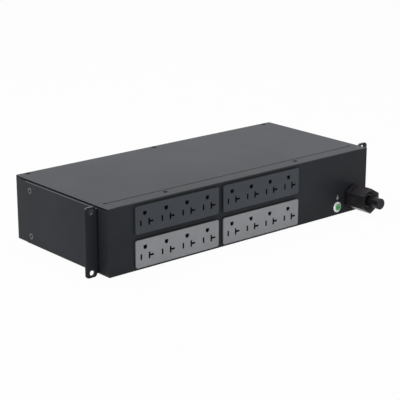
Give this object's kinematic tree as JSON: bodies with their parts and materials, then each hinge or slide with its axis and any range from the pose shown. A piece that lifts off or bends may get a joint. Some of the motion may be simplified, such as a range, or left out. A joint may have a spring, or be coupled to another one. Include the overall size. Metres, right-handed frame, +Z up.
{
  "type": "rack power distribution unit",
  "caption": "Low rack-mounted power box with dark and light outlet strips on its front, folded steel case, rack ears, ground screw and a cable gland with a short cord stub.",
  "frame": {"origin": "middle of the four rack holes, on the back face of the ears that lies against the rails", "axes": "+X to the right seen from the front, +Y to the rear, +Z up"},
  "size_m": [0.4826, 0.2498, 0.0882],
  "materials": {
    "case_paint": "fine textured powder coat",
    "black_screws": "black oxide",
    "zinc_steel": "bright zinc",
    "dark_outlets": "moulded satin",
    "grey_outlets": "moulded satin",
    "inner_plastic": "moulded matt",
    "brass": "stamped",
    "gland_plastic": "moulded gloss",
    "black_rubber": "smooth",
    "ground_green": "dyed",
    "black_insulation": "smooth",
    "red_insulation": "smooth",
    "white_insulation": "smooth",
    "green_insulation": "smooth"
  },
  "bodies": {
    "root": {"bracket_nuts_left": "zinc_steel", "bracket_nuts_right": "zinc_steel", "bracket_screws_left": "zinc_steel", "bracket_screws_right": "zinc_steel", "chassis": "case_paint", "cord_ground_core": "green_insulation", "cord_jacket": "black_rubber", "cord_line_1_core": "black_insulation", "cord_line_2_core": "red_insulation", "cord_neutral_core": "white_insulation", "cover_front_nuts": "zinc_steel", "cover_front_screws": "black_screws", "cover_rear_nuts": "zinc_steel", "cover_rear_screws": "black_screws", "gland_body": "gland_plastic", "gland_gasket": "black_rubber", "gland_locknut": "gland_plastic", "gland_nut": "gland_plastic", "gland_seal": "black_rubber", "ground_contacts_lower_left": "brass", "ground_contacts_lower_right": "brass", "ground_contacts_upper_left": "brass", "ground_contacts_upper_right": "brass", "ground_lugs": "zinc_steel", "ground_nuts": "zinc_steel", "ground_screw": "ground_green", "ground_washer": "zinc_steel", "ground_wires": "green_insulation", "line_1_wires": "black_insulation", "line_2_wires": "red_insulation", "line_contacts_lower_left": "brass", "line_contacts_lower_right": "brass", "line_contacts_upper_left": "brass", "line_contacts_upper_right": "brass", "neutral_contacts_lower_left": "brass", "neutral_contacts_lower_right": "brass", "neutral_contacts_upper_left": "brass", "neutral_contacts_upper_right": "brass", "neutral_wires": "white_insulation", "outlet_back_lower_left": "inner_plastic", "outlet_back_lower_right": "inner_plastic", "outlet_back_screws": "zinc_steel", "outlet_back_upper_left": "inner_plastic", "outlet_back_upper_right": "inner_plastic", "outlet_face_lower_left": "grey_outlets", "outlet_face_lower_right": "grey_outlets", "outlet_face_upper_left": "dark_outlets", "outlet_face_upper_right": "dark_outlets", "rack_bracket_left": "case_paint", "rack_bracket_right": "case_paint", "terminal_block": "inner_plastic", "terminal_block_nuts": "zinc_steel", "terminal_screws": "zinc_steel", "terminal_tubes": "brass", "top_cover": "case_paint"}
  },
  "joints": []
}
